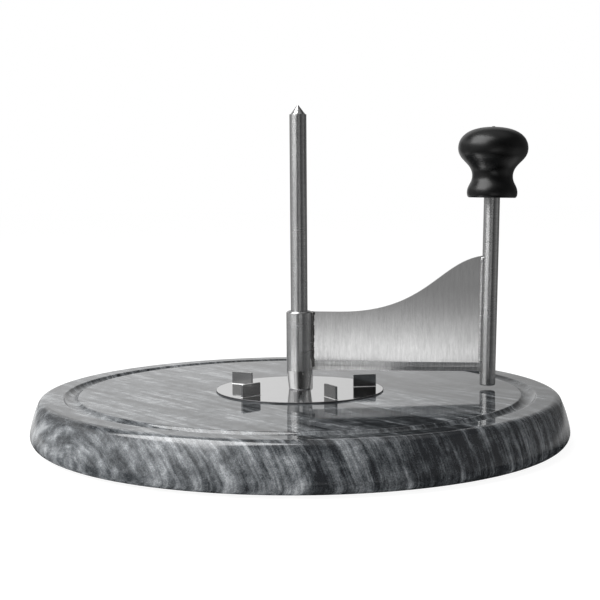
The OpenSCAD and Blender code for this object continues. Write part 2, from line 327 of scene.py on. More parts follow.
def softened_copy(node_name, name, width, segments=2, spare=None, sharp=30):
    """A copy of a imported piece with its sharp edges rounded, but for those that spare picks."""
    piece = bpy.data.objects.new(name, nodes[node_name].data.copy())
    bpy.context.scene.collection.objects.link(piece)
    piece.data.materials.clear()
    pick(piece)
    edit()
    bpy.ops.mesh.select_all(action="SELECT")
    bpy.ops.mesh.remove_doubles(threshold=MERGE)
    bpy.ops.mesh.customdata_custom_splitnormals_clear()
    bpy.ops.mesh.dissolve_limited(angle_limit=radians(ONE_FLAT))
    bpy.ops.mesh.select_mode(type="EDGE")
    bpy.ops.mesh.select_all(action="DESELECT")
    bpy.ops.mesh.edges_select_sharp(sharpness=radians(sharp))
    end_edit()
    mesh = piece.data
    weights = mesh.attributes.new("bevel_weight_edge", "FLOAT", "EDGE")
    for edge in mesh.edges:
        middle = (mesh.vertices[edge.vertices[0]].co + mesh.vertices[edge.vertices[1]].co) / 2
        if edge.select and not (spare and spare(middle)):
            weights.data[edge.index].value = 1.0
    bevel = piece.modifiers.new("edges", "BEVEL")
    bevel.width = width * MM
    bevel.segments = segments
    bevel.limit_method = "WEIGHT"
    bevel.use_clamp_overlap = True
    apply_modifiers(piece)
    smooth(piece)
    return piece


def second_finish(piece, material, chosen):
    """Gives the faces that chosen picks a second material."""
    piece.data.materials.append(material)
    for face in piece.data.polygons:
        if chosen(face):
            face.material_index = 1


def finish_piece(piece, body, slot, material, *replaced):
    piece.data.materials.clear()
    piece.data.materials.append(material)
    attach(piece, body)
    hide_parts(*replaced)


# --- Stone --------------------------------------------------------------------------------------

def stone_outline():
    """Half of the stone's cut face, as a closed outline from the top of its hole outwards."""
    low = (STONE_R - LOW_ROUND, STONE_LOW + LOW_ROUND)
    reach = SIDE_BULGE - LOW_ROUND
    lean = radians(SIDE_LEAN)
    bulge = (low[0] - reach * cos(lean), low[1] - reach * sin(lean))
    rim_reach = SIDE_BULGE - RIM_ROUND
    rim_lean = asin((STONE_TOP - RIM_ROUND - bulge[1]) / rim_reach)
    rim = (bulge[0] + rim_reach * cos(rim_lean), bulge[1] + rim_reach * sin(rim_lean))
    rim_lean = degrees(rim_lean)

    groove_bend = ((GROOVE_W / 2) ** 2 + GROOVE_DEPTH ** 2) / (2 * GROOVE_DEPTH)
    groove = (GROOVE_R, STONE_TOP + groove_bend - GROOVE_DEPTH)
    half = degrees(asin(GROOVE_W / 2 / groove_bend))
    worn = degrees(GROOVE_LIP / groove_bend)
    bed = arc(groove, groove_bend, worn - half - 90, half - worn - 90, steps=12)
    inner = (GROOVE_R - GROOVE_W / 2, STONE_TOP)
    outer = (GROOVE_R + GROOVE_W / 2, STONE_TOP)
    inner_lip = curve([(inner[0] - GROOVE_LIP, STONE_TOP), inner, inner, bed[0]], steps=5)
    outer_lip = curve([bed[-1], outer, outer, (outer[0] + GROOVE_LIP, STONE_TOP)], steps=5)

    sink_low = STONE_TOP - FOOT_SINK_DEPTH
    pocket_top = STONE_LOW + POCKET_DEPTH
    sink = [
        (FOOT_SINK_IN, STONE_TOP), (FOOT_SINK_IN, sink_low),
        (FOOT_SINK_OUT, sink_low), (FOOT_SINK_OUT, STONE_TOP)
    ]
    top = [(SHANK_HOLE_R, STONE_TOP)] + sink + inner_lip[:-1] + bed + outer_lip[1:]
    side = arc(rim, RIM_ROUND, 90, rim_lean, steps=10)
    side += arc(bulge, SIDE_BULGE, rim_lean, SIDE_LEAN, steps=10)[1:]
    side += arc(low, LOW_ROUND, SIDE_LEAN, -90, steps=10)[1:]
    under = [(POCKET_R, STONE_LOW), (POCKET_R, pocket_top), (SHANK_HOLE_R, pocket_top)]
    return top + side + under


def make_stone(materials):
    piece = lathe("marble_disc", stone_outline(), steps=256, closed=True)
    smooth(piece)
    finish_piece(piece, "base", "stone", materials["stone"], "marble_base")


def make_feet(materials):
    for i in range(1, FEET + 1):
        name = f"base_foot_{i}"
        piece = softened_copy(name, f"rubber_foot_{i}", FOOT_EDGE, segments=3)
        finish_piece(piece, "base", "rubber", materials["rubber"], name)


# --- Spindle and its fastening --------------------------------------------------------------------

def make_spindle(materials):
    point_low = SPINDLE_TIP - POINT_H
    shoulder = (SPINDLE_R, point_low)
    foot = (POINT_FOOT_R, point_low)
    tip = (POINT_FLAT_R, SPINDLE_TIP)
    outline = soften([
        (0, SPINDLE_LOW), (SHANK_R - SHANK_CHAMFER, SPINDLE_LOW), (SHANK_R, SPINDLE_LOW + SHANK_CHAMFER),
        (SHANK_R, PLATE_TOP), (SPINDLE_R, PLATE_TOP), shoulder
    ], BAR_EDGE, steps=2)[:-1]
    outline += rounded(shoulder, (SPINDLE_R, PLATE_TOP), foot, SHOULDER_ROUND, steps=4)
    outline.append(foot)
    outline += rounded(tip, foot, (0, SPINDLE_TIP), POINT_ROUND, steps=4)
    outline.append((0, SPINDLE_TIP))
    piece = lathe("spindle_bar", outline, steps=96)
    smooth(piece, angle=25)
    finish_piece(piece, "base", "brushed_rod", materials["brushed_rod"], "spindle")


def make_fastening(materials):
    for name, made, width, slot in (
        ("rubber_washer", "seal_ring", WASHER_EDGE, "rubber"),
        ("steel_washer", "washer", WASHER_EDGE, "plain_steel"),
        ("spindle_nut", "hex_nut", NUT_EDGE, "plain_steel")
    ):
        piece = softened_copy(name, made, width)
        finish_piece(piece, "base", slot, materials[slot], name)


def tooth_bead(turn):
    """The small fillet between a tooth and the plate, all round the tooth's foot."""
    deselect_all()
    bpy.ops.mesh.primitive_cube_add(size=MM, location=(0, 0, MM / 2))
    bead = bpy.context.object
    wide = (TOOTH_LEN + 2 * TOOTH_BEAD, TOOTH_T + 2 * TOOTH_BEAD, TOOTH_BEAD)
    narrow = (TOOTH_LEN / wide[0], TOOTH_T / wide[1], 1)
    edit("FACE")
    bpy.ops.transform.resize(value=wide, center_override=(0, 0, 0))
    bpy.ops.mesh.select_all(action="DESELECT")
    end_edit()
    for face in bead.data.polygons:
        face.select = face.normal.z > 0.5
    edit("FACE")
    bpy.ops.transform.resize(value=narrow, center_override=(0, 0, 0))
    end_edit()
    foot = Vector((TOOTH_OUT - TOOTH_LEN / 2, 0, PLATE_TOP - TOOTH_BEAD_SINK)) * MM
    bead.matrix_world = Matrix.Rotation(turn, 4, "Z") @ Matrix.Translation(foot) @ bead.matrix_world
    bpy.ops.object.transform_apply(location=True, rotation=True, scale=True)
    return bead


def on_bead(face):
    """Picks the slanted faces of the fillet, on the mesh of a finished tooth."""
    return face.normal.z > 0.2 and PLATE_TOP < face.center.z / MM < PLATE_TOP + TOOTH_BEAD


def make_teeth(materials):
    for i in range(TEETH):
        name = f"tooth_{i + 1}"
        piece = softened_copy(name, f"bent_{name}", TOOTH_EDGE)
        bead = tooth_bead(radians(TEETH_TURN + 360 / TEETH * i))
        pick(piece, bead)
        bpy.ops.object.join()
        finish_piece(piece, "base", "tooth_steel", materials["tooth_steel"], name)
        second_finish(piece, materials["bright_weld"], on_bead)


def on_rim(face):
    """Picks the plate's outer edge and not its holes."""
    return abs(face.normal.z) < 0.9 and face.center.xy.length > (PLATE_R - 0.4) * MM


def make_plate(materials):
    piece = softened_copy("tooth_plate", "polished_disc", PLATE_EDGE)
    finish_piece(piece, "base", "polished_plate", materials["polished_plate"], "tooth_plate")
    # The rim gets a dark finish: painted shade along the plate's edge
    second_finish(piece, materials["sheared_rim_painted_shade"], on_rim)


# --- Scraper ----------------------------------------------------------------------------------------

def on_taper(face):
    """Picks the tapered foot, whose faces look down a little."""
    return -0.3 < face.normal.z < -0.06


def make_collar(materials):
    lip_low = COLLAR_TOP - COLLAR_LIP_H
    outline = [
        (COLLAR_BORE, COLLAR_LOW), (COLLAR_FOOT_R, COLLAR_LOW), (COLLAR_R, COLLAR_LOW + TAPER_H),
        (COLLAR_R, COLLAR_TOP - COLLAR_CHAMFER), (COLLAR_R - COLLAR_CHAMFER, COLLAR_TOP),
        (COLLAR_LIP_R, COLLAR_TOP), (COLLAR_LIP_R, lip_low), (COLLAR_BORE, lip_low)
    ]
    rounds = [0.06, 0.12, 0.6, 0.25, 0.2, 0.08, 0.05, 0.05]
    soft = []
    for i, (corner, r) in enumerate(zip(outline, rounds)):
        soft += rounded(corner, outline[i - 1], outline[(i + 1) % len(outline)], r, steps=4)
    piece = lathe("turned_sleeve", soft, steps=96, closed=True)
    smooth(piece, angle=25)
    finish_piece(piece, "scraper", "turned_collar", materials["turned_collar"], "scraper_collar")
    second_finish(piece, materials["polished_taper"], on_taper)


def arm_height(point):
    """Height above the cutting edge, in millimetres, of a place on the arm."""
    droop = radians(ARM_DROOP)
    return (point.z / MM - EDGE_Z) * cos(droop) + point.x / MM * sin(droop)


def near_cutting_edge(middle):
    """Picks the edges that stay sharp, by their middles."""
    return arm_height(middle) < KEEN_H


def on_bevel(face):
    """Picks the ground face, which looks forwards and down."""
    return face.normal.z < -0.2 and face.normal.y < -0.5


def make_blade(materials):
    piece = softened_copy(
        "scraper_blade", "blade_sheet", BLADE_EDGE, spare=near_cutting_edge, sharp=GRIND_TURN
    )
    finish_piece(piece, "scraper", "brushed_blade", materials["brushed_blade"], "scraper_blade")
    second_finish(piece, materials["ground_edge"], on_bevel)


def weld_chain(name, spots, seed):
    """A bead of weld metal: flattened drops, one over the next, melted together."""
    rng = random.Random(seed)
    drops = []
    for x, y, z, r in spots:
        deselect_all()
        bpy.ops.mesh.primitive_uv_sphere_add(segments=20, ring_count=12, radius=r * MM)
        drop = bpy.context.object
        edit()
        bpy.ops.mesh.select_all(action="SELECT")
        flat = (rng.uniform(*MELT_SPREAD), rng.uniform(*MELT_SPREAD), rng.uniform(*MELT_FLAT))
        bpy.ops.transform.resize(value=flat)
        bpy.ops.transform.translate(value=Vector((x, y, z)) * MM)
        end_edit()
        drops.append(drop)
    pick(*drops)
    bpy.ops.object.join()
    piece = bpy.context.object
    piece.name = name
    melt = piece.modifiers.new("melt", "REMESH")
    melt.mode = "VOXEL"
    melt.voxel_size = WELD_VOXEL * MM
    ease = piece.modifiers.new("ease", "SMOOTH")
    ease.factor = 0.5
    ease.iterations = 3
    apply_modifiers(piece)
    smooth(piece, angle=60)
    return piece


def arm_point(x, z):
    """The X and Z of a place on the arm, from its distance along the arm and height above the edge."""
    droop = radians(ARM_DROOP)
    return x * cos(droop) + z * sin(droop), EDGE_Z + z * cos(droop) - x * sin(droop)


def make_collar_weld(materials):
    rng = random.Random(7)
    spots = []
    for side in (-1, 1):
        z = COLLAR_BEAD_LOW
        while z < COLLAR_BEAD_TOP:
            r = rng.uniform(*COLLAR_BEAD_R)
            x = COLLAR_R + WELD_SKIN + rng.uniform(*COLLAR_BEAD_OUT)
            spots.append((x, side * (BLADE_T / 2 + WELD_SKIN), z, r))
            z += rng.uniform(*COLLAR_BEAD_STEP)
        for z, r in COLLAR_BEAD_ENDS:
            spots.append((COLLAR_R + END_OUT, side * BLADE_T / 2, z, r))
        for z, y in COLLAR_BEAD_TAIL:
            spots.append((COLLAR_R + TAIL_OUT, side * y, z, TAIL_R))
    piece = weld_chain("collar_bead", spots, seed=11)
    finish_piece(piece, "scraper", "weld", materials["dark_weld"], "collar_weld")


def make_rod_weld(materials):
    rng = random.Random(19)
    spots = []
    for side in (-1, 1):
        along = BEVEL_H + ROD_BEAD_MARGIN
        while along < CREST_H - ROD_BEAD_MARGIN:
            x, z = arm_point(ARM_R - ROD_R, along)
            r = rng.uniform(*ROD_BEAD_R)
            spots.append((x, side * (BLADE_T / 2 + ROD_BEAD_SKIN), z, r))
            along += rng.uniform(*ROD_BEAD_STEP)
    piece = weld_chain("rod_bead", spots, seed=23)
    finish_piece(piece, "scraper", "weld", materials["bright_weld"], "rod_weld")


def make_rod(materials):
    clip_seat = ROD_R - CLIP_DEPTH
    clip_top = CLIP_LOW + CLIP_T
    outline = [(0, -ROD_DROP)]
    outline += arc((ROD_R - ROD_ROUND, ROD_ROUND - ROD_DROP), ROD_ROUND, -90, 0, steps=8)
    outline += [(ROD_R, CLIP_LOW), (clip_seat, CLIP_LOW), (clip_seat, clip_top), (ROD_R, clip_top)]
    outline += arc((ROD_R - ROD_ROUND, ROD_END - ROD_ROUND), ROD_ROUND, 0, 90, steps=8)
    outline.append((0, ROD_END))
    piece = lathe("upright_rod", outline, steps=96)
    onto_arm(piece)
    smooth(piece, angle=25)
    finish_piece(piece, "scraper", "brushed_rod", materials["brushed_rod"], "crank_rod")


# --- Knob ---------------------------------------------------------------------------------------------

def knob_outline():
    """The knob from the end of its bore, down the bore, round the foot and up to the crown."""
    foot = (FLANGE_R - FLANGE_ROUND, 0)
    flange = (FLANGE_R, FLANGE_H)
    neck = (NECK_R, NECK_H)
    bulb = (BULB_R, BULB_H)
    low = WAIST_PULL * (NECK_H - FLANGE_H)
    mid = SWELL_PULL * (BULB_H - NECK_H)
    crown_up = CROWN_PULL * (KNOB_H - BULB_H)
    crown_in = CROWN_FLAT * BULB_R
    room_top = CLIP_ROOM_LOW + CLIP_ROOM_H
    bore = [
        (0, BORE_DEPTH), (KNOB_BORE, BORE_DEPTH), (KNOB_BORE, room_top), (CLIP_ROOM_R, room_top),
        (CLIP_ROOM_R, CLIP_ROOM_LOW), (KNOB_BORE, CLIP_ROOM_LOW)
    ]
    pull = BORE_MOUTH / 4
    mouth = [(KNOB_BORE, BORE_MOUTH), (KNOB_BORE, pull), (KNOB_BORE + pull, 0), (KNOB_BORE + BORE_MOUTH, 0)]
    mouth = curve(mouth, steps=4)
    skirt = curve([foot, (foot[0] + SKIRT_PULL, 0), (flange[0], flange[1] - FLANGE_ROUND), flange], steps=8)
    waist = curve([flange, (flange[0], flange[1] + low), (neck[0], neck[1] - low), neck], steps=20)
    swell = curve([neck, (neck[0], neck[1] + mid), (bulb[0], bulb[1] - mid), bulb], steps=24)
    crown = curve([bulb, (bulb[0], bulb[1] + crown_up), (crown_in, KNOB_H), (0, KNOB_H)], steps=28)
    dome = [p for p in crown[1:] if p[0] > NUB_CLEAR]
    nub = [(r, KNOB_H + h) for r, h in NUB]
    return bore + mouth + skirt + waist[1:] + swell[1:] + dome + nub


def make_knob(materials):
    piece = lathe("knob_grip", [(r, KNOB_RISE + h) for r, h in knob_outline()], steps=128)
    onto_arm(piece)
    smooth(piece, angle=35)
    finish_piece(piece, "knob", "black_knob", materials["black_knob"], "crank_knob")


# --- Node helpers ---------------------------------------------------------------------------------

def node(tree, kind, **settings):
    made = tree.nodes.new(kind)
    for name, value in settings.items():
        setattr(made, name, value)
    return made


def put(tree, value, socket):
    """Joins an output to a socket, or writes a plain value on it."""
    if isinstance(value, bpy.types.NodeSocket):
        tree.links.new(value, socket)
    elif isinstance(value, tuple) and len(value) == 3 and socket.type == "RGBA":
        socket.default_value = (*value, 1)
    else:
        socket.default_value = value


def even(value):
    """The same value on all three axes, or a grey."""
    return (value, value, value)


def maths(tree, operation, *values):
    made = node(tree, "ShaderNodeMath", operation=operation)
    for value, socket in zip(values, made.inputs):
        put(tree, value, socket)
    return made.outputs[0]


def vectors(tree, operation, *values):
    made = node(tree, "ShaderNodeVectorMath", operation=operation)
    sockets = [s for s in made.inputs if s.enabled]
    for value, socket in zip(values, sockets):
        put(tree, value, socket)
    return [s for s in made.outputs if s.enabled][0]


def axes(tree, where):
    """The X, Y and Z of a place or a direction."""
    split = node(tree, "ShaderNodeSeparateXYZ")
    put(tree, where, split.inputs[0])
    return tuple(split.outputs)


def noise(tree, where, scale, detail, roughness, output="Fac"):
    made = node(tree, "ShaderNodeTexNoise")
    put(tree, where, made.inputs["Vector"])
    put(tree, scale, made.inputs["Scale"])
    made.inputs["Detail"].default_value = detail
    made.inputs["Roughness"].default_value = roughness
    return made.outputs[output]


def fit(tree, value, low, high, new_low=0.0, new_high=1.0, soft=False):
    """Maps the range low to high onto another, and holds it there."""
    made = node(tree, "ShaderNodeMapRange")
    if soft:
        made.interpolation_type = "SMOOTHSTEP"
    for name, v in (
        ("Value", value), ("From Min", low), ("From Max", high), ("To Min", new_low), ("To Max", new_high)
    ):
        put(tree, v, made.inputs[name])
    return made.outputs["Result"]


def ramp(tree, value, stops):
    """Stops are (position, grey) or (position, (r, g, b))."""
    made = node(tree, "ShaderNodeValToRGB")
    elements = made.color_ramp.elements
    while len(elements) < len(stops):
        elements.new(0.5)
    for element, (position, colour) in zip(elements, stops):
        element.position = position
        if isinstance(colour, (int, float)):
            colour = even(colour)
        element.color = (*colour, 1)
    put(tree, value, made.inputs["Fac"])
    return made.outputs["Color"]


def mix(tree, factor, first, second, blend="MIX"):
    made = node(tree, "ShaderNodeMix", data_type="RGBA", blend_type=blend)
    put(tree, factor, made.inputs["Factor"])
    for value, name in ((first, "A"), (second, "B")):
        socket = [s for s in made.inputs if s.name == name and s.type == "RGBA"][0]
        put(tree, value, socket)
    return [s for s in made.outputs if s.type == "RGBA"][0]


def bump(tree, height, strength, distance, base=None):
    made = node(tree, "ShaderNodeBump")
    if base is not None:
        put(tree, base, made.inputs["Normal"])
    put(tree, height, made.inputs["Height"])
    made.inputs["Strength"].default_value = strength
    made.inputs["Distance"].default_value = distance * MM
    return made.outputs["Normal"]


def new_material(name, **plain):
    """A material with one Principled shader, and the plain values on its own sockets."""
    material = bpy.data.materials.new(name)
    material.use_nodes = True
    tree = material.node_tree
    shader = tree.nodes["Principled BSDF"]
    for socket, value in plain.items():
        put(tree, value, shader.inputs[socket.replace("_", " ")])
    return material, tree, shader


def object_place(tree):
    return node(tree, "ShaderNodeTexCoord").outputs["Object"]


# --- Shared effects, each a node group ----------------------------------------------------------------

def new_group(name, inputs, outputs):
    """Inputs are (name, kind, default). Outputs are (name, kind). Returns tree, input and output nodes."""
    tree = bpy.data.node_groups.new(name, "ShaderNodeTree")
    for label, kind, default in inputs:
        socket = tree.interface.new_socket(name=label, in_out="INPUT", socket_type="NodeSocket" + kind)
        if default is not None:
            socket.default_value = default
    for label, kind in outputs:
        tree.interface.new_socket(name=label, in_out="OUTPUT", socket_type="NodeSocket" + kind)
    return tree, node(tree, "NodeGroupInput").outputs, node(tree, "NodeGroupOutput").inputs


def use_group(tree, name, **values):
    """Places a shared effect and returns its outputs. Spaces in socket names are written as _."""
    made = node(tree, "ShaderNodeGroup", node_tree=bpy.data.node_groups[name])
    for label, value in values.items():
        put(tree, value, made.inputs[label.replace("_", " ")])
    return made.outputs


LINE_SWAY = 60                  # waves to the metre, along which lines wander
WIDE_LINES = (0.22, 0.22, 0.3)  # density of the wide lines, as a share of the fine lines'
FINE_SHARE = 0.55               # what the fine lines add to both
LINE_RANGE = (0.33, 0.67)       # noise at the darkest and at the lightest line
GRAIN_RANGE = (0.3, 0.7)
MARK_RANGE = (0.38, 0.66)


def brush_lines_group():
    """Lines left by a belt. Density is the number of lines to the metre along each axis."""
    tree, given, out = new_group(
        "brush_lines",
        [("Place", "Vector", None), ("Density", "Vector", (2000, 2000, 20)), ("Waviness", "Float", 0.0)],
        [("Tone", "Float"), ("Height", "Float")]
    )
    sway = vectors(tree, "MULTIPLY", given["Place"], even(LINE_SWAY))
    sway = vectors(tree, "SUBTRACT", noise(tree, sway, 1.0, 2, 0.5, "Color"), even(0.5))
    drift = node(tree, "ShaderNodeVectorMath", operation="SCALE")
    put(tree, sway, drift.inputs[0])
    put(tree, given["Waviness"], drift.inputs["Scale"])
    where = vectors(tree, "ADD", given["Place"], drift.outputs["Vector"])
    dense = vectors(tree, "MULTIPLY", where, given["Density"])
    fine = noise(tree, dense, 1.0, 3, 0.65)
    wide = noise(tree, vectors(tree, "MULTIPLY", dense, WIDE_LINES), 1.0, 3, 0.6)
    fine = maths(tree, "MULTIPLY", fine, FINE_SHARE)
    both = maths(tree, "ADD", fine, maths(tree, "MULTIPLY", wide, 1 - FINE_SHARE))
    put(tree, fit(tree, both, *LINE_RANGE), out["Tone"])
    put(tree, both, out["Height"])


def fine_grain_group():
    """Small even grain, as on moulded plastic, rubber or a cast face."""
    tree, given, out = new_group(
        "fine_grain", [("Place", "Vector", None), ("Density", "Float", 1500.0)],
        [("Tone", "Float"), ("Height", "Float")]
    )
    grain = noise(tree, given["Place"], given["Density"], 3, 0.6)
    put(tree, fit(tree, grain, *GRAIN_RANGE), out["Tone"])
    put(tree, grain, out["Height"])


def handling_marks_group():
    """Faint clouded patches where hands and a cloth have wiped."""
    tree, given, out = new_group(
        "handling_marks", [("Place", "Vector", None), ("Density", "Float", 60.0)], [("Mask", "Float")]
    )
    patch = noise(tree, given["Place"], given["Density"], 4, 0.62)
    put(tree, fit(tree, patch, *MARK_RANGE, soft=True), out["Mask"])


# What shiny things see round them: (degrees from the camera's side towards +X, brightness)
SURROUNDINGS = (
    (-180, 0.7), (-172, 0.72), (-160, 0.7), (-150, 0.28), (-140, 0.22), (-119, 0.32), (-104, 0.4),
    (-90, 0.44), (-68, 0.42), (-48, 0.34), (-29, 0.2), (-11, 0.1), (0, 0.05), (25, 0.05), (42, 0.14),
    (61, 0.2), (72, 0.3), (83, 0.34), (95, 0.19), (126, 0.1), (146, 0.12), (160, 0.38), (170, 0.52),
    (174, 0.62), (180, 0.7)
)


def azimuth(tree, x, y):
    """Turns round the object, from 0 to 1, with 0.5 on the camera's side."""
    angle = maths(tree, "ARCTAN2", x, maths(tree, "MULTIPLY", y, -1.0))
    return maths(tree, "ADD", maths(tree, "DIVIDE", angle, 2 * pi), 0.5)


def surroundings_group():
    """Brightness of the studio in a level direction."""
    tree, given, out = new_group("surroundings", [("Direction", "Vector", None)], [("Brightness", "Color")])
    x, y, _ = axes(tree, given["Direction"])
    turn = azimuth(tree, x, y)
    put(tree, ramp(tree, turn, [(0.5 + a / 360, b) for a, b in SURROUNDINGS]), out["Brightness"])


# --- Finishes -----------------------------------------------------------------------------------------

BED_NORMAL = (0.8, 0.6, 0.17)   # square to the stone's beds
# How the beds bend: (waves to the metre, reach in millimetres)
BED_SWAYS = ((38, 3.2), (170, 0.8))
# What the veins add up from: (density across and along the beds, detail, roughness, share)
BED_LAYERS = (
    ((48, 12, 12), 2, 0.5, 0.4),
    ((130, 14, 14), 3, 0.55, 0.75),
    ((380, 32, 32), 4, 0.6, 1.05),
    ((1150, 60, 60), 3, 0.6, 0.5)
)
CLOUD_DENSITY = 210.0
CLOUD_SHARE = 0.7
SPECKLE_DENSITY = 2400.0
SPECKLE_SHARE = 0.55
PAINTED_SHADE_TO_RIGHT = 0.8                 # painted shade: how fast the stone's colour gets darker towards +X, the side away from the key lamp
VEIN_RANGE = (-0.205, 0.37)     # sums at the darkest and at the lightest vein
VEIN_COLOURS = (
    (0.0, (0.020, 0.022, 0.025)), (0.25, (0.049, 0.054, 0.059)), (0.5, (0.114, 0.122, 0.130)),
    (0.75, (0.212, 0.224, 0.236)), (1.0, (0.39, 0.405, 0.417))
)
POLISH_DEPTH = 1.8              # millimetres below the top face, over which its polish fades
SIDE_ROUGH = (0.15, 0.2)
TOP_ROUGH = (0.025, 0.05)


def bed_place(tree, where):
    """A place in the stone's beds, with X square to them."""
    turned = node(tree, "ShaderNodeMapping")
    put(tree, where, turned.inputs["Vector"])
    lean = Vector(BED_NORMAL).rotation_difference(Vector((1, 0, 0)))
    turned.inputs["Rotation"].default_value = lean.to_euler()
    beds = turned.outputs["Vector"]
    for density, reach in BED_SWAYS:
        sway = vectors(tree, "SUBTRACT", noise(tree, beds, density, 2, 0.5, "Color"), even(0.5))
        beds = vectors(tree, "ADD", beds, vectors(tree, "MULTIPLY", sway, even(reach * MM)))
    return beds


def vein_level(tree, where):
    """How light the stone is at a place, as a sum of layers, clouds and speckle, less a painted shade that
    grows towards +X.
    """
    beds = bed_place(tree, where)
    parts = []
    for density, detail, roughness, share in BED_LAYERS:
        dense = vectors(tree, "MULTIPLY", beds, density)
        parts.append((noise(tree, dense, 1.0, detail, roughness), share))
    parts.append((noise(tree, where, CLOUD_DENSITY, 3, 0.6), CLOUD_SHARE))
    speckle = use_group(tree, "fine_grain", Place=where, Density=SPECKLE_DENSITY)
    parts.append((speckle["Height"], SPECKLE_SHARE))
    level = 0.0
    for part, share in parts:
        part = maths(tree, "MULTIPLY", maths(tree, "SUBTRACT", part, 0.5), share)
        level = maths(tree, "ADD", level, part)
    # Painted shade: the colour gets darker towards +X, the side that the key lamp leaves in shade
    return maths(tree, "SUBTRACT", level, maths(tree, "MULTIPLY", axes(tree, where)[0], PAINTED_SHADE_TO_RIGHT))


def stone():
    """Grey marble with beds that lean across the disc, polished on top, with painted shade that darkens its
    colour towards +X.
    """
    material, tree, shader = new_material("grey_marble", IOR=1.8)
    where = object_place(tree)
    level = fit(tree, vein_level(tree, where), *VEIN_RANGE)
    put(tree, ramp(tree, level, VEIN_COLOURS), shader.inputs["Base Color"])
    top = fit(tree, axes(tree, where)[2], (STONE_TOP - POLISH_DEPTH) * MM, STONE_TOP * MM)
    grain = use_group(tree, "fine_grain", Place=where, Density=1800.0)
    marks = use_group(tree, "handling_marks", Place=where, Density=45.0)
    rough = node(tree, "ShaderNodeMix", data_type="FLOAT")
    put(tree, top, rough.inputs["Factor"])
    put(tree, fit(tree, grain["Tone"], 0.0, 1.0, *SIDE_ROUGH), rough.inputs["A"])
    put(tree, fit(tree, marks["Mask"], 0.0, 1.0, *TOP_ROUGH), rough.inputs["B"])
    put(tree, rough.outputs["Result"], shader.inputs["Roughness"])
    put(tree, bump(tree, grain["Height"], strength=0.05, distance=0.05), shader.inputs["Normal"])
    return material


ROUGH_SPREAD = 0.03             # how much brush lines and wiping change a roughness
WIPED_ROUGH = 0.05              # what wiping adds to it on a grained finish
GRAIN_CONTRAST = 0.2


def steel(name, colour, rough, density, contrast=0.16, relief=0.2, waviness=0.0, hollow=0.0, **plain):
    """Stainless steel with brush lines. Density is the number of lines to the metre along each axis.

    Hollow is the slope by which a sheet faces up a little more than a flat one.
    """
    material, tree, shader = new_material(name, Metallic=1.0, **plain)
    where = object_place(tree)
    lines = use_group(tree, "brush_lines", Place=where, Density=density, Waviness=waviness * MM)
    marks = use_group(tree, "handling_marks", Place=where, Density=70.0)
    dark = tuple((1 - contrast) * c for c in colour)
    light = tuple(min(1.0, (1 + contrast / 2) * c) for c in colour)
    put(tree, mix(tree, lines["Tone"], dark, light), shader.inputs["Base Color"])
    line_rough = fit(tree, lines["Tone"], 0.0, 1.0, rough + ROUGH_SPREAD, rough - ROUGH_SPREAD)
    mark_rough = maths(tree, "MULTIPLY", marks["Mask"], ROUGH_SPREAD)
    put(tree, maths(tree, "ADD", line_rough, mark_rough), shader.inputs["Roughness"])
    base = None
    if hollow:
        slope = maths(tree, "MULTIPLY", axes(tree, where)[2], -hollow)
        base = bump(tree, slope, strength=1.0, distance=1000)
    put(tree, bump(tree, lines["Height"], strength=relief, distance=0.03, base=base), shader.inputs["Normal"])
    return material


def grained(name, colour, rough, metallic=0.0, density=1500.0, relief=0.3):
    """A plain finish with fine grain: moulded plastic, rubber, weld metal."""
    material, tree, shader = new_material(name, Metallic=metallic)
    where = object_place(tree)
    grain = use_group(tree, "fine_grain", Place=where, Density=density)
    marks = use_group(tree, "handling_marks", Place=where, Density=90.0)
    dark = tuple((1 - GRAIN_CONTRAST) * c for c in colour)
    put(tree, mix(tree, grain["Tone"], dark, colour), shader.inputs["Base Color"])
    mark_rough = fit(tree, marks["Mask"], 0.0, 1.0, rough - ROUGH_SPREAD, rough + WIPED_ROUGH)
    put(tree, mark_rough, shader.inputs["Roughness"])
    put(tree, bump(tree, grain["Height"], strength=relief, distance=0.05), shader.inputs["Normal"])
    return material


TURNED = (60, 60, 2400)         # fine rings round an upright axis
ROUND = (900, 900, 900)         # no direction
UPRIGHT = (1800, 1800, 60)
RING_SHINE = {"Anisotropic": 1.0, "Anisotropic_Rotation": 0.25}


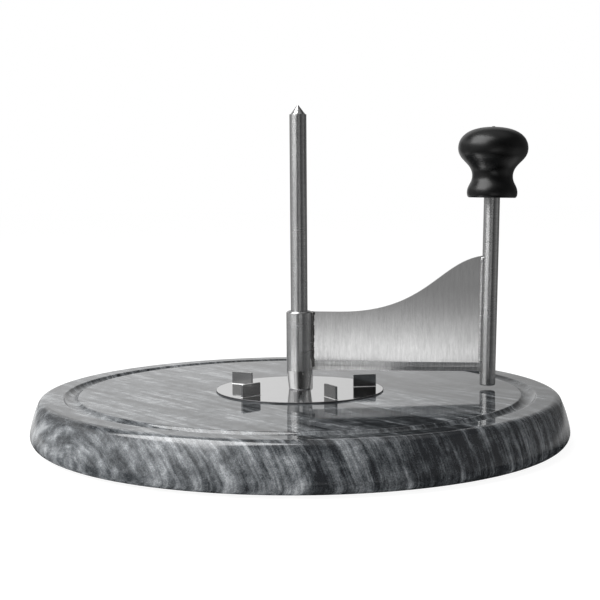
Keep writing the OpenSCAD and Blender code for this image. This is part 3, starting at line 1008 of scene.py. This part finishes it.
def finishes():
    return {
        "stone": stone(),
        "polished_plate": steel("mirror_steel", even(0.8), 0.05, ROUND, contrast=0.03, relief=0.02),
        # The plate's rim: rough like a sheared edge, and a dark grey far below steel's own colour, as painted
        # shade along the edge
        "sheared_rim_painted_shade": grained(
            "sheared_rim_painted_shade", (0.16, 0.16, 0.165), 0.5, metallic=1.0, density=2200.0, relief=0.4
        ),
        "tooth_steel": steel("tooth_steel", even(0.5), 0.14, UPRIGHT, contrast=0.12, relief=0.1),
        "brushed_rod": steel("brushed_bar", even(0.65), 0.23, TURNED, relief=0.1, **RING_SHINE),
        "turned_collar": steel("brushed_tube", even(0.7), 0.23, TURNED, relief=0.1, **RING_SHINE),
        "polished_taper": steel("polished_taper", even(0.95), 0.08, ROUND, contrast=0.06, relief=0.04),
        "brushed_blade": steel(
            "brushed_sheet", even(0.75), 0.12, (6000, 1400, 420), contrast=0.1, relief=0.1,
            waviness=0.8, hollow=0.007, Anisotropic=1.0
        ),
        "ground_edge": steel(
            "ground_edge", even(0.88), 0.58, (4800, 1200, 60), contrast=0.26, Anisotropic=0.8
        ),
        "plain_steel": steel("plain_steel", (0.6, 0.6, 0.61), 0.28, ROUND, contrast=0.2),
        "dark_weld": grained(
            "dark_weld", (0.24, 0.235, 0.23), 0.42, metallic=1.0, density=2600.0, relief=0.5
        ),
        "bright_weld": grained("bright_weld", even(0.74), 0.5, metallic=1.0, density=2600.0, relief=0.2),
        "black_knob": grained("black_moulding", (0.002, 0.002, 0.0021), 0.32, density=2200.0, relief=0.05),
        "liner_plastic": grained("grey_plastic", (0.2, 0.2, 0.21), 0.5),
        "rubber": grained("black_rubber", even(0.02), 0.75)
    }


def dress_cad_nodes(materials):
    """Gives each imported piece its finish. Of these, only the liner and the clip stay in view."""
    for part in frame["record"]["subparts"]:
        slot = part["material_slot"]
        finish = "dark_weld" if slot == "weld" else slot
        nodes[part["node"]].material_slots[0].material = materials[finish]


# --- Studio ---------------------------------------------------------------------------------------------

SKY = (0.42, 0.15)              # what the object gets from all round, on its left and on its right
SKY_ACROSS = (-0.8, 0.6)        # where a direction counts as left and as right
# Heights are in degrees, and each pair says where a change starts and ends
HORIZON = (27, 36)              # end of the surroundings, seen from the front and the sides
HORIZON_BEHIND = (40, 50)       # and behind the object
BEHIND = (0.5, 0.75)            # where a direction counts as behind
OVERHEAD = (50, 68)
OVERHEAD_LEVEL = (0.06, 0.4)
DIM_TURN = 0.62                 # middle of the dimmer wall, as azimuth gives it
DIM_REACH = (0.15, 0.2)
DIM_LEVEL = (0.4, 1.0)
RAISED = (13, 17)               # start of the brighter upper wall on the left
RAISED_ACROSS = (-0.3, -0.5)    # where a direction counts as left for it
RAISED_GAIN = 2.0

FLOOR_SIZE = 12                 # metres
FLOOR_COLOUR = 0.85             # what other things get from the floor
FLOOR_SHOWN = 0.25              # what the camera sees of it, so that the shadow stays soft
FLOOR_GLOW = 0.93
# Bright floor before the object: (metres in front of the spindle, brightness)
NEAR_FLOOR = (
    (0.1, 0.85), (0.28, 0.9), (0.3, 0.97), (0.332, 1.0), (0.371, 0.9), (0.413, 0.75), (0.46, 0.61),
    (0.511, 0.54), (0.569, 0.46), (0.633, 0.36), (0.9, 0.25), (1.34, 0.26), (2.0, 0.24)
)
NEAR_REACH = 2.0                # metres
NEAR_LEVEL = 1.05
# From side to side, a place is given as a share of its distance in front
NEAR_START = (-0.14, -0.05)
NEAR_END = (0.42, 0.6)
NEAR_BEND = (0.24, 0.6)         # where the bright floor draws in
NEAR_DRAW = 1.5                 # by how much
LEAST_FRONT = 0.02              # metres, the least distance that counts
UNDER_RIM = (0.15, 0.26)        # metres from the spindle, where the stone's shade ends
# Light floor beside and behind the stone, which its side shows where one looks along it
BESIDE_FRONT = (0.04, -0.04)    # metres in front of the spindle
BESIDE_LEFT = (-0.092, -0.108)
BESIDE_RIGHT = (0.1, 0.118)
BESIDE_END = (0.2, 0.28)        # metres from the spindle
BESIDE_LEVEL = (0.9, 0.5)       # left and right
BOUNCE = (0.45, 0.26)           # what the floor adds from below, on the left and on the right
BOUNCE_ACROSS = (-0.1, 0.1)


def sines(angles):
    return [sin(radians(angle)) for angle in angles]


def add_world():
    world = bpy.data.worlds.new("studio")
    bpy.context.scene.world = world
    world.use_nodes = True
    tree = world.node_tree
    direction = node(tree, "ShaderNodeTexCoord").outputs["Generated"]
    x, y, z = axes(tree, direction)
    level = use_group(tree, "surroundings", Direction=direction)["Brightness"]
    off_dim = maths(tree, "ABSOLUTE", maths(tree, "SUBTRACT", azimuth(tree, x, y), DIM_TURN))
    level = mix(tree, 1.0, level, fit(tree, off_dim, *DIM_REACH, *DIM_LEVEL), "MULTIPLY")
    raised = maths(tree, "MULTIPLY", fit(tree, z, *sines(RAISED)), fit(tree, x, *RAISED_ACROSS))
    level = mix(tree, raised, level, even(RAISED_GAIN), "MULTIPLY")
    behind = fit(tree, y, *BEHIND)
    low, high = [fit(tree, behind, 0.0, 1.0, *sines(ends)) for ends in zip(HORIZON, HORIZON_BEHIND)]
    upper = fit(tree, z, *sines(OVERHEAD), *OVERHEAD_LEVEL)
    around = mix(tree, fit(tree, z, low, high), level, upper)
    ray = node(tree, "ShaderNodeLightPath").outputs
    lit = mix(tree, ray["Is Glossy Ray"], fit(tree, x, *SKY_ACROSS, *SKY), around)
    lit = mix(tree, ray["Is Camera Ray"], lit, even(1.0))
    put(tree, lit, tree.nodes["Background"].inputs["Color"])


def near_floor(tree, x, front):
    """Brightness of the floor before the object, as shiny things see it."""
    aside = maths(tree, "DIVIDE", x, maths(tree, "MAXIMUM", front, LEAST_FRONT))
    draw = fit(tree, aside, *NEAR_BEND, 1.0 / NEAR_REACH, NEAR_DRAW / NEAR_REACH)
    stops = [(distance / NEAR_REACH, level) for distance, level in NEAR_FLOOR]
    near = ramp(tree, maths(tree, "MULTIPLY", front, draw), stops)
    near = mix(tree, 1.0, near, even(NEAR_LEVEL), "MULTIPLY")
    sides = maths(tree, "MULTIPLY", fit(tree, aside, *NEAR_START), fit(tree, aside, *NEAR_END, 1, 0))
    return maths(tree, "MULTIPLY", near, sides)


def beside_floor(tree, x, front, away):
    """Brightness of the floor beside and behind the stone, as shiny things see it."""
    left = fit(tree, x, *BESIDE_LEFT, 0, BESIDE_LEVEL[0])
    right = fit(tree, x, *BESIDE_RIGHT, 0, BESIDE_LEVEL[1])
    beside = maths(tree, "MULTIPLY", fit(tree, front, *BESIDE_FRONT), maths(tree, "ADD", left, right))
    return maths(tree, "MULTIPLY", beside, fit(tree, away, *BESIDE_END, 1, 0))


def white_floor():
    """White from above, clear from below, and in reflections what a studio's floor would show."""
    material, tree, shader = new_material("white_floor", Roughness=0.9, Base_Color=even(FLOOR_COLOUR))
    shader.inputs["Specular IOR Level"].default_value = 0.0
    shader.inputs["Emission Strength"].default_value = 1.0
    where = object_place(tree)
    x, y, _ = axes(tree, where)
    front = maths(tree, "MULTIPLY", y, -1.0)
    away = vectors(tree, "LENGTH", where)
    ray = node(tree, "ShaderNodeLightPath").outputs

    far = use_group(tree, "surroundings", Direction=where)["Brightness"]
    seen = mix(tree, 1.0, far, near_floor(tree, x, front), "LIGHTEN")
    seen = mix(tree, fit(tree, away, *UNDER_RIM, 0, 1, soft=True), even(0.0), seen)
    seen = mix(tree, 1.0, seen, beside_floor(tree, x, front, away), "LIGHTEN")
    glow = mix(tree, ray["Is Glossy Ray"], fit(tree, x, *BOUNCE_ACROSS, *BOUNCE), seen)
    glow = mix(tree, ray["Is Camera Ray"], glow, even(FLOOR_GLOW))
    put(tree, glow, shader.inputs["Emission Color"])
    matt = mix(tree, ray["Is Glossy Ray"], even(FLOOR_COLOUR), even(0.0))
    matt = mix(tree, ray["Is Camera Ray"], matt, even(FLOOR_SHOWN))
    put(tree, matt, shader.inputs["Base Color"])

    choose = node(tree, "ShaderNodeMixShader")
    put(tree, node(tree, "ShaderNodeNewGeometry").outputs["Backfacing"], choose.inputs["Fac"])
    put(tree, shader.outputs["BSDF"], choose.inputs[1])
    put(tree, node(tree, "ShaderNodeBsdfTransparent").outputs["BSDF"], choose.inputs[2])
    put(tree, choose.outputs["Shader"], tree.nodes["Material Output"].inputs["Surface"])
    return material


def add_floor():
    deselect_all()
    bpy.ops.mesh.primitive_plane_add(size=FLOOR_SIZE, location=(0, 0, 0))
    floor = bpy.context.object
    floor.name = "floor"
    floor.data.materials.append(white_floor())


def add_softbox(name, turn, elevation, distance, width, height, power):
    """A lamp that faces the origin, turned from the camera's side towards +X. Angles are in degrees."""
    data = bpy.data.lights.new(name, "AREA")
    data.shape = "RECTANGLE"
    data.size = width
    data.size_y = height
    data.energy = power
    lamp = bpy.data.objects.new(name, data)
    bpy.context.scene.collection.objects.link(lamp)
    a = radians(turn)
    e = radians(elevation)
    out = Vector((sin(a) * cos(e), -cos(a) * cos(e), sin(e)))
    lamp.location = out * distance
    lamp.rotation_mode = "QUATERNION"
    lamp.rotation_quaternion = out.to_track_quat("Z", "Y")


# --- Everything, in order -----------------------------------------------------------------------------

add_camera()
for make_group in (brush_lines_group, fine_grain_group, handling_marks_group, surroundings_group):
    make_group()
materials = finishes()
dress_cad_nodes(materials)
for make_piece in (
    make_stone, make_feet, make_plate, make_teeth, make_spindle, make_fastening, make_collar, make_blade,
    make_collar_weld, make_rod_weld, make_rod, make_knob
):
    make_piece(materials)
add_world()
add_floor()
add_softbox("key", turn=-63, elevation=54, distance=0.95, width=0.86, height=0.84, power=10.6)

bpy.context.scene.view_settings.view_transform = "Standard"
